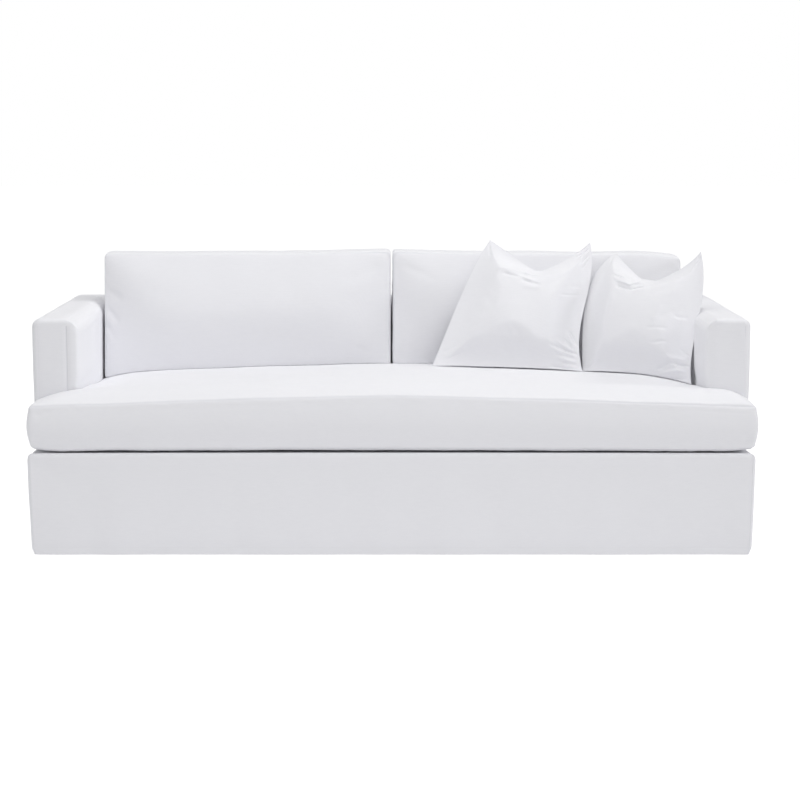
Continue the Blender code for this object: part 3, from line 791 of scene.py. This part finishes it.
def creaseEdges(obj, strength, wanted):
    bm = bmesh.new()
    bm.from_mesh(obj.data)
    bm.normal_update()
    layer = bm.edges.layers.float.get("crease_edge") or bm.edges.layers.float.new("crease_edge")
    for edge in bm.edges:
        if wanted(edge):
            edge[layer] = strength
    bm.to_mesh(obj.data)
    bm.free()


def makeSeat():
    length, frontAt = seat["halfLength"], seat["front"]
    notch = cover["armFront"] - snug
    side = cover["armInner"] - snug
    near, far = seat["edgeCuts"]
    cut = seat["notchCut"]
    # a box of height 1 first, so that a point's height is its share of the boxing
    cushion = addBox("seat_cushion_soft", (-length, frontAt, 0), (length, notch, 1))
    bpy.ops.object.mode_set(mode="EDIT")
    for value in (-side, side):
        cutAt(0, value)
    selectFaces(cushion, lambda at, out: out.y > squareOn and abs(at.x) < side)
    bpy.ops.mesh.extrude_region_move(TRANSFORM_OT_translate={"value": (0, seat["back"] - notch, 0)})
    for value in (length - near, length - far, side + cut, side - cut):
        cutAt(0, value)
        cutAt(0, -value)
    cutEvenly(0, -side + cut, side - cut, seat["step"])
    for value in (frontAt + near, frontAt + far, notch - cut, notch, notch + cut):
        cutAt(1, value)
    cutEvenly(1, notch + cut, seat["back"], seat["step"])
    cutAt(1, seat["back"] - near)
    for value in seat["boxingCuts"]:
        cutAt(2, value)
    bpy.ops.object.mode_set(mode="OBJECT")

    def onBoxing(edge):  # a level edge between the boxing and the top or the underside
        level = abs(edge.verts[0].co.z - edge.verts[1].co.z) < 0.0001
        return level and len(edge.link_faces) == 2 and edge.calc_face_angle() > 1.2

    creaseEdges(cushion, seat["seamCrease"], lambda edge: onBoxing(edge) and edge.verts[0].co.z > 0.5)
    creaseEdges(cushion, seat["underCrease"], lambda edge: onBoxing(edge) and edge.verts[0].co.z < 0.5)
    rim = set()
    bm = bmesh.new()
    bm.from_mesh(cushion.data)
    for edge in bm.edges:
        if onBoxing(edge):
            rim.update(vert.index for vert in edge.verts)
    bm.free()
    group = cushion.vertex_groups.new(name="seam")
    group.add(sorted(rim), 1.0, "REPLACE")
    bottom = cover["deck"] + snug
    for vert in cushion.data.vertices:
        x, y, share = vert.co
        byEnd = float(smoothStep(length - 0.08, length, abs(x)))
        byFront = 1 - float(smoothStep(frontAt, frontAt + seat["liftReach"], y))
        lift = seat["frontLift"] + seat["frontArch"] * (1 - (x / length) ** 2)
        lift = lift * byFront + seat["endLift"] * byEnd
        low = bottom + (lift if y < notch + closeBy else 0)
        vert.co.z = low + share * (seatTop(x, y) - low)
        vert.co.y += seat["underTuck"] * byFront * (1 - float(smoothStep(0, 0.35, share)))
        belly = 1 - (2 * share - 1) ** 2
        if y < frontAt + closeBy:
            vert.co.y -= seat["bulge"] * belly
        if abs(x) > length - closeBy:
            vert.co.x += math.copysign(seat["bulge"] * belly, x)
    for vert in cushion.data.vertices:  # back by the bulge, so that the fullest line is at the front and ends
        byFront = 1 - float(smoothStep(frontAt - 0.01, frontAt + 0.1, vert.co.y))
        vert.co.y += seat["bulge"] * byFront
        byEnd = float(smoothStep(length - 0.1, length, abs(vert.co.x)))
        vert.co.x -= math.copysign(seat["bulge"] * byEnd, vert.co.x)
        if vert.co.x > 0:
            vert.co.x += seat["rightEarOut"] * byEnd
    finishWith(cushion, "SUBSURF", levels=3, render_levels=3)

    def seatPull(at):  # the seam draws in, and takes painted shade, most towards the right
        return 0.75 + 0.45 * smoothStep(0.1, 0.75, at[:, 0])

    sewSeam(cushion, seat["seamDepth"], seatCreases, seat["seed"], seat["softness"], seatPull)
    # flat where it rests on the deck and against the arms and the inside back
    points, _ = pointsOf(cushion.data)
    points[:, 2] = np.maximum(points[:, 2], bottom)
    besideArm = points[:, 1] > notch + snug
    points[:, 0] = np.where(besideArm, np.clip(points[:, 0], -side, side), points[:, 0])
    inEar = np.abs(points[:, 0]) > side + snug
    points[:, 1] = np.where(inEar, np.minimum(points[:, 1], notch), points[:, 1])
    points[:, 1] = np.minimum(points[:, 1], seat["back"])
    setPoints(cushion.data, points)
    smoothByAngle(cushion, 70)
    return cushion


seatCushion = makeSeat()
dress(seatCushion, cushionCloth, "seat_cushion_cloth", "seat_cushion")
print("seat cushion:", len(seatCushion.data.polygons), "faces")


# The back cushions

backs = {
    "top": 0.89,
    "innerRise": 0.009,
    "outerFall": 0.012,  # the right one's outer corner has sunk
    "boxing": 0.14,
    "crown": 0.055,
    "crownReach": 0.26,
    "rimCrease": 0.5,
    "tuck": 0.006,
    "seamDepth": 0.002,
    "softness": 0.003,
    "seatGap": 0.0008,
    "step": 0.085,
    "edgeCuts": (0.025, 0.1),  # rows this far in from the ends
    "heightCuts": (0.06, 0.2, 0.35, 0.5, 0.65, 0.8, 0.94),  # shares of the height and of the boxing
    "boxingCuts": (0.16, 0.5, 0.84),
}
backCreases = {
    "back_cushion_left": [
        ((-0.985, 0.21, 0.77), (-0.93, 0.2, 0.74), 0.012, -0.006),
        ((-0.985, 0.21, 0.71), (-0.94, 0.2, 0.66), 0.011, -0.005),
        ((-0.985, 0.21, 0.65), (-0.95, 0.2, 0.6), 0.01, -0.0035),
        ((-0.97, 0.22, 0.52), (-0.86, 0.2, 0.56), 0.014, -0.003),
        ((-0.04, 0.22, 0.86), (-0.16, 0.19, 0.8), 0.018, -0.003),
        ((-0.03, 0.22, 0.54), (-0.13, 0.18, 0.58), 0.014, -0.003),
        ((-0.7, 0.2, 0.8), (-0.3, 0.19, 0.79), 0.09, -0.003),
    ],
    "back_cushion_right": [
        ((0.03, 0.22, 0.86), (0.16, 0.19, 0.81), 0.016, -0.003),
        ((0.03, 0.22, 0.55), (0.12, 0.19, 0.6), 0.014, -0.003),
        ((0.04, 0.2, 0.845), (0.45, 0.2, 0.85), 0.012, -0.0022),
        ((0.97, 0.22, 0.86), (0.86, 0.19, 0.8), 0.016, -0.003),
    ],
}


def insideBackAt(z):
    return cover["backFace"] + cover["recline"] * (z - cover["deck"]) / (cover["rail"] - cover["deck"])


def rayTree(obj):
    bm = bmesh.new()
    bm.from_mesh(obj.data)
    tree = BVHTree.FromBMesh(bm)
    bm.free()
    return tree


def setOnSeat(points):  # lifts the underside onto the seat cushion
    tree = rayTree(seatCushion)
    for point in points:  # looked up a little inside the seat's edges
        above = Vector((min(max(point[0], -0.99), 0.99), min(point[1], 0.29), 2))
        hit = tree.ray_cast(above, Vector((0, 0, -1)))[0]
        if hit is not None:
            point[2] = max(point[2], hit.z + backs["seatGap"])
    return points


def makeBack(name, lowX, highX, seed):
    # depth and height run from 0 to 1 first, as shares
    near, far = backs["edgeCuts"]
    cushion = addBox(name + "_soft", (lowX, 0, 0), (highX, 1, 1))
    bpy.ops.object.mode_set(mode="EDIT")
    for value in (lowX + near, lowX + far, highX - far, highX - near):
        cutAt(0, value)
    cutEvenly(0, lowX + far, highX - far, backs["step"])
    for value in backs["heightCuts"]:
        cutAt(2, value)
    for value in backs["boxingCuts"]:
        cutAt(1, value)
    bpy.ops.object.mode_set(mode="OBJECT")

    def onRim(edge):
        ends = [vert.co for vert in edge.verts]
        onFace = all(end.y < 0.0001 for end in ends) or all(end.y > 0.9999 for end in ends)
        return onFace and len(edge.link_faces) == 2 and edge.calc_face_angle() > 1.2

    creaseEdges(cushion, backs["rimCrease"], onRim)

    def isRimPoint(at):
        onFace = at.y < closeBy or at.y > 1 - closeBy
        atEnd = at.x < lowX + closeBy or at.x > highX - closeBy
        atTopOrFoot = at.z < closeBy or at.z > 1 - closeBy
        return onFace and (atEnd or atTopOrFoot)

    gripLine(cushion, "seam", isRimPoint)
    for vert in cushion.data.vertices:
        x, depth, share = vert.co
        foot = seatTop(x, cover["backFace"] - backs["boxing"] / 2)
        top = backs["top"] + backs["innerRise"] * (1 - float(smoothStep(0, 0.35, abs(x))))
        top -= backs["outerFall"] * float(smoothStep(0.9, 1.0, x))
        height = top - foot
        inwards = min(x - lowX, highX - x, share * height, (1 - share) * height)
        crown = backs["crown"] * float(riseFromEdge(inwards, backs["crownReach"]))
        vert.co.z = foot + share * height
        rear = insideBackAt(vert.co.z) - snug
        front = rear - backs["boxing"] - crown
        vert.co.y = front + depth * (rear - front)
        if 0.1 < depth < 0.9 and share > 0.9:
            vert.co.z += backs["tuck"] * (1 - float(riseFromEdge(inwards, 0.05)))
    finishWith(cushion, "SUBSURF", levels=3, render_levels=3)

    def backPull(at):  # the seam's draw-in and painted shade show round the inner corners, elsewhere the cloth rolls over it
        return 0.3 + 0.7 * (1 - smoothStep(0.05, 0.16, np.abs(at[:, 0])))

    sewSeam(cushion, backs["seamDepth"], backCreases[name], seed, backs["softness"], backPull)
    points, _ = pointsOf(cushion.data)
    rear = insideBackAt(points[:, 2]) - snug
    points[:, 1] = np.minimum(points[:, 1], rear)
    lowest = 0 if lowX > 0 else lowX  # the right one may swell up to the middle
    points[:, 0] = np.clip(points[:, 0], lowest, highX)
    setPoints(cushion.data, setOnSeat(points))
    smoothByAngle(cushion, 70)
    return cushion


for name, lowX, highX, seed in (
    ("back_cushion_left", -0.992, -0.003, 21),
    ("back_cushion_right", 0.003, 0.9996, 31),
):
    backCushion = makeBack(name, lowX, highX, seed)
    dress(backCushion, cushionCloth, "back_cushion_cloth", name)
    print(name, len(backCushion.data.polygons), "faces")


# The scatter cushions: two sheets sewn round the edge and blown up, then set in place

pillow = {
    "size": 0.46,
    "cells": 48,
    "fineness": 2,  # subdivisions before the creases are laid, which keeps them crisp
    "thickness": 0.15,
    "flatThickness": 0.004,  # the two sheets before they are blown up
    "cloth": {
        "quality": 6,
        "mass": 0.25,
        "tension_stiffness": 25,
        "compression_stiffness": 25,
        "shear_stiffness": 8,
        "bending_stiffness": 0.3,
        "use_pressure": True,
        "uniform_pressure_force": 5.0,
    },
    "frames": 22,
    "rimShare": 0.24,  # the cloth rises slowly from the knife edge over this share of the width
    "rimSlope": 0.22,
    "arch": 0.005,  # between its corners the lower edge hangs clear of the seat
    "dentRound": 0.06,  # the pressed-in top is a V with this soft a foot
    "dentSlope": 1.058,
    "dentFlat": 0.55,  # and presses this share of the filling away
    "lumps": 0.003,
    "backGap": 0.0015,
}
# Each side of a cushion runs through four evenly shared points, from its lower corner to its upper one
scatters = {
    "scatter_cushion_left": {
        "leftSide": ((0.133, 0.032, 0.52), (0.198, 0.092, 0.67), (0.264, 0.144, 0.82), (0.338, 0.194, 0.944)),
        "rightSide": (
            (0.648, -0.008, 0.497),
            (0.637, 0.06, 0.65),
            (0.672, 0.126, 0.788),
            (0.681, 0.194, 0.936),
        ),
        "dentPlace": 0.55,
        "dentDepth": 0.24,
        "dentFoot": 0.02,
        "creaseShare": 0.75,
        "flip": False,
        "seed": 43,
        # creases across the front: from and to as shares of width and height, width, height
        "creases": [
            ((0.2, 0.765, 0), (0.39, 0.785, 0), 0.03, 0.006),  # the flap that hangs over the dent
            ((0.39, 0.78, 0), (0.53, 0.85, 0), 0.028, 0.007),
            ((0.28, 0.725, 0), (0.42, 0.715, 0), 0.016, -0.006),
            ((0.44, 0.77, 0), (0.57, 0.785, 0), 0.012, -0.005),
            ((0.42, 0.735, 0), (0.55, 0.71, 0), 0.013, 0.005),
            ((0.45, 0.69, 0), (0.6, 0.67, 0), 0.016, -0.006),
            ((0.47, 0.635, 0), (0.63, 0.63, 0), 0.022, 0.003),
            ((0.99, 0.985, 0), (0.86, 0.985, 0), 0.008, -0.0035),
            ((0.985, 0.965, 0), (0.86, 0.945, 0), 0.007, -0.004),
            ((0.98, 0.945, 0), (0.87, 0.91, 0), 0.008, 0.003),
            ((0.98, 0.92, 0), (0.885, 0.865, 0), 0.008, -0.004),
            ((0.975, 0.89, 0), (0.91, 0.82, 0), 0.008, -0.003),
            ((0.79, 0.575, 0), (0.93, 0.6, 0), 0.009, -0.0025),
            ((0.85, 0.66, 0), (0.95, 0.665, 0), 0.010, -0.0015),
            ((0.925, 0.31, 0), (0.985, 0.21, 0), 0.009, -0.005),
            ((0.9, 0.3, 0), (0.965, 0.2, 0), 0.010, 0.0035),
            ((0.88, 0.255, 0), (0.965, 0.185, 0), 0.009, -0.005),
            ((0.83, 0.225, 0), (0.95, 0.172, 0), 0.011, 0.005),
            ((0.79, 0.195, 0), (0.985, 0.15, 0), 0.010, -0.007),
            ((0.82, 0.165, 0), (0.96, 0.14, 0), 0.009, 0.0035),
            ((0.83, 0.138, 0), (0.965, 0.12, 0), 0.009, -0.005),
            ((0.84, 0.11, 0), (0.965, 0.098, 0), 0.009, 0.003),
            ((0.86, 0.09, 0), (0.975, 0.075, 0), 0.009, -0.0045),
            ((0.78, 0.06, 0), (0.95, 0.042, 0), 0.011, -0.004),
            ((0.03, 0.96, 0), (0.1, 0.86, 0), 0.011, -0.003),
            ((0.04, 0.05, 0), (0.18, 0.13, 0), 0.014, -0.003),
            ((0.03, 0.12, 0), (0.12, 0.17, 0), 0.012, -0.002),
        ],
    },
    "scatter_cushion_right": {
        "leftSide": (
            (0.644, 0.015, 0.508),
            (0.648, 0.078, 0.647),
            (0.681, 0.148, 0.7965),
            (0.776, 0.228, 0.894),
        ),
        "rightSide": (
            (0.986, -0.153, 0.485),
            (0.993, -0.115, 0.6185),
            (1.026, -0.066, 0.763),
            (1.03, 0.004, 0.918),
        ),
        "dentPlace": 0.5,
        "dentDepth": 0.24,
        "dentFoot": 0.12,
        "creaseShare": 0.85,
        "flip": True,
        "seed": 41,
        "creases": [
            ((0.23, 0.735, 0), (0.39, 0.725, 0), 0.02, 0.006),  # the flap that hangs over the dent
            ((0.26, 0.712, 0), (0.41, 0.705, 0), 0.011, 0.005),
            ((0.4, 0.71, 0), (0.475, 0.8, 0), 0.013, 0.008),
            ((0.28, 0.662, 0), (0.42, 0.66, 0), 0.016, -0.007),
            ((0.42, 0.66, 0), (0.51, 0.72, 0), 0.014, -0.006),
            ((0.19, 0.768, 0), (0.33, 0.77, 0), 0.009, -0.0035),
            ((0.24, 0.742, 0), (0.34, 0.745, 0), 0.008, -0.002),
            ((0.3, 0.8, 0), (0.4, 0.785, 0), 0.008, -0.002),
            ((0.69, 0.098, 0), (0.83, 0.154, 0), 0.011, -0.007),
            ((0.82, 0.153, 0), (0.985, 0.165, 0), 0.010, -0.006),
            ((0.72, 0.068, 0), (0.95, 0.118, 0), 0.015, 0.006),
            ((0.76, 0.175, 0), (0.95, 0.205, 0), 0.016, 0.004),
            ((0.78, 0.03, 0), (0.97, 0.06, 0), 0.011, -0.004),
            ((0.985, 0.24, 0), (0.9, 0.28, 0), 0.010, -0.0025),
            ((0.99, 0.985, 0), (0.93, 0.94, 0), 0.009, -0.004),
            ((0.98, 0.95, 0), (0.9, 0.89, 0), 0.010, -0.002),
            ((0.03, 0.97, 0), (0.1, 0.86, 0), 0.011, -0.003),
            ((0.03, 0.03, 0), (0.14, 0.12, 0), 0.013, -0.0035),
            ((0.63, 0.355, 0), (0.78, 0.39, 0), 0.010, -0.002),
            ((0.82, 0.497, 0), (0.92, 0.522, 0), 0.010, -0.002),
            ((0.655, 0.255, 0), (0.8, 0.295, 0), 0.010, -0.0025),
        ],
    },
}


def blowUpPillow():
    bpy.ops.object.select_all(action="DESELECT")
    cells = pillow["cells"]
    bpy.ops.mesh.primitive_grid_add(x_subdivisions=cells, y_subdivisions=cells, size=pillow["size"])
    sheets = bpy.context.active_object
    finishWith(sheets, "SOLIDIFY", thickness=pillow["flatThickness"], offset=0)
    flat = sheets.data.attributes.new("flatPlace", "FLOAT_VECTOR", "POINT")
    flat.data.foreach_set("vector", pointsOf(sheets.data)[0].ravel().astype(np.float32))
    cloth = sheets.modifiers.new("cloth", "CLOTH")
    for key, value in pillow["cloth"].items():
        setattr(cloth.settings, key, value)
    cloth.settings.effector_weights.gravity = 0
    cloth.collision_settings.use_collision = False
    for number in range(1, pillow["frames"] + 1):
        bpy.context.scene.frame_set(number)
    pickOnly(sheets)
    bpy.ops.object.modifier_apply(modifier="cloth")
    bpy.context.scene.frame_set(1)
    finishWith(sheets, "SUBSURF", levels=pillow["fineness"], render_levels=pillow["fineness"])
    blown, _ = pointsOf(sheets.data)
    start = np.zeros(len(blown) * 3, np.float32)
    sheets.data.attributes["flatPlace"].data.foreach_get("vector", start)
    sheets.data.attributes.remove(sheets.data.attributes["flatPlace"])
    return sheets, start.reshape(-1, 3).astype(float), blown


def alongSide(points, shares):  # a smooth curve through four evenly shared points
    points = np.array(points)
    place = np.zeros((len(shares), 3))
    for index in range(4):
        weight = np.ones(len(shares))
        for other in range(4):
            if other != index:
                weight = weight * (shares * 3 - other) / (index - other)
        place += weight[:, None] * points[index]
    return place


def makeScatter(name, sheets, start, blown):
    shape = scatters[name]
    left, right = shape["leftSide"], shape["rightSide"]
    pickOnly(sheets)
    bpy.ops.object.duplicate()
    cushion = bpy.context.active_object
    cushion.name = name + "_soft"
    half = pillow["size"] / 2
    across = np.clip((start[:, 0] + half) / (2 * half), 0, 1)
    up = np.clip((start[:, 1] + half) / (2 * half), 0, 1)
    if shape["flip"]:
        across = 1 - across
    side = start[:, 2] / np.abs(start[:, 2]).max()  # 1 on the front sheet, -1 on the rear one
    fullness = (np.clip(16 * across * (1 - across) * up * (1 - up), 0, 1)) ** 0.5
    height = blown[:, 2] * (pillow["thickness"] / 2) / np.abs(blown[:, 2]).max()
    rim = np.minimum(np.minimum(across, 1 - across), np.minimum(up, 1 - up))
    height = height * (pillow["rimSlope"] + (1 - pillow["rimSlope"]) * smoothStep(0, pillow["rimShare"], rim))
    # the top edge is pressed in, deepest at its dent
    notch, foot, footRound = shape["dentPlace"], shape["dentFoot"], pillow["dentRound"]
    away = np.where(across < notch, 1 - across / notch, 1 - (1 - across) / (1 - notch))
    away = np.clip(away - foot, 0, 1) / (1 - foot)
    dent = 1 + footRound - np.sqrt((away * pillow["dentSlope"]) ** 2 + footRound**2)
    dent = np.clip(dent, 0, 1)
    height = height * (1 - pillow["dentFlat"] * dent * up**3)
    reach = up - shape["dentDepth"] * dent * up**4
    share = across[:, None]
    place = alongSide(left, reach) * (1 - share) + alongSide(right, reach) * share
    facing = (Vector(right[0]) - Vector(left[0])).cross(Vector(left[3]) - Vector(left[0])).normalized()
    onFace = np.stack([across, up, np.zeros(len(up))], axis=1)
    marks = creaseField(onFace, shape["creases"]) * shape["creaseShare"]
    lumps = noiseField(onFace, 4, shape["seed"]) * pillow["lumps"] * fullness
    out = height + (side > 0.9) * (marks + lumps)
    points = place + out[:, None] * np.array(facing)
    # painted shade along the sewn edge all round
    paintSeamShade(cushion, np.where(rim < closeBy, 0.4, 0))
    points = setOnSeat(points)
    points[:, 2] += pillow["arch"] * (1 - (2 * across - 1) ** 4) * (1 - smoothStep(0, 0.08, up))
    # beside the arm it stays inside, and follows the arm's rounded edge upwards
    beside = (points[:, 2] < cover["rail"] + closeBy) & (points[:, 1] > cover["armFront"])
    radius = cover["innerRadius"]
    rise = np.clip(points[:, 2] - cover["rail"] + radius, 0, radius)
    armAt = cover["armInner"] - closeBy + radius - np.sqrt(radius**2 - rise**2)
    points[:, 0] = np.where(beside, np.minimum(points[:, 0], armAt), points[:, 0])
    for backName in ("back_cushion_left_soft", "back_cushion_right_soft"):
        keepInFront(points, bpy.data.objects[backName])
    setPoints(cushion.data, points)
    pickOnly(cushion)
    bpy.ops.object.mode_set(mode="EDIT")
    bpy.ops.mesh.select_all(action="SELECT")
    bpy.ops.mesh.normals_make_consistent(inside=False)
    bpy.ops.object.mode_set(mode="OBJECT")
    smoothByAngle(cushion, 60)
    return cushion


def keepInFront(points, neighbour):
    tree = rayTree(neighbour)
    for point in points:
        hit = tree.ray_cast(Vector((point[0], -2, point[2])), Vector((0, 1, 0)))[0]
        if hit is not None:
            point[1] = min(point[1], hit.y - pillow["backGap"])


pillowSheets, flatPoints, blownPoints = blowUpPillow()
print("pillow blown up, half thickness", round(float(np.abs(blownPoints[:, 2]).max()), 4))
for name in scatters:
    scatterCushion = makeScatter(name, pillowSheets, flatPoints, blownPoints)
    dress(scatterCushion, scatterCloth, "scatter_cushion_cloth", name)
    print(name, len(scatterCushion.data.polygons), "faces")
bpy.data.objects.remove(pillowSheets)
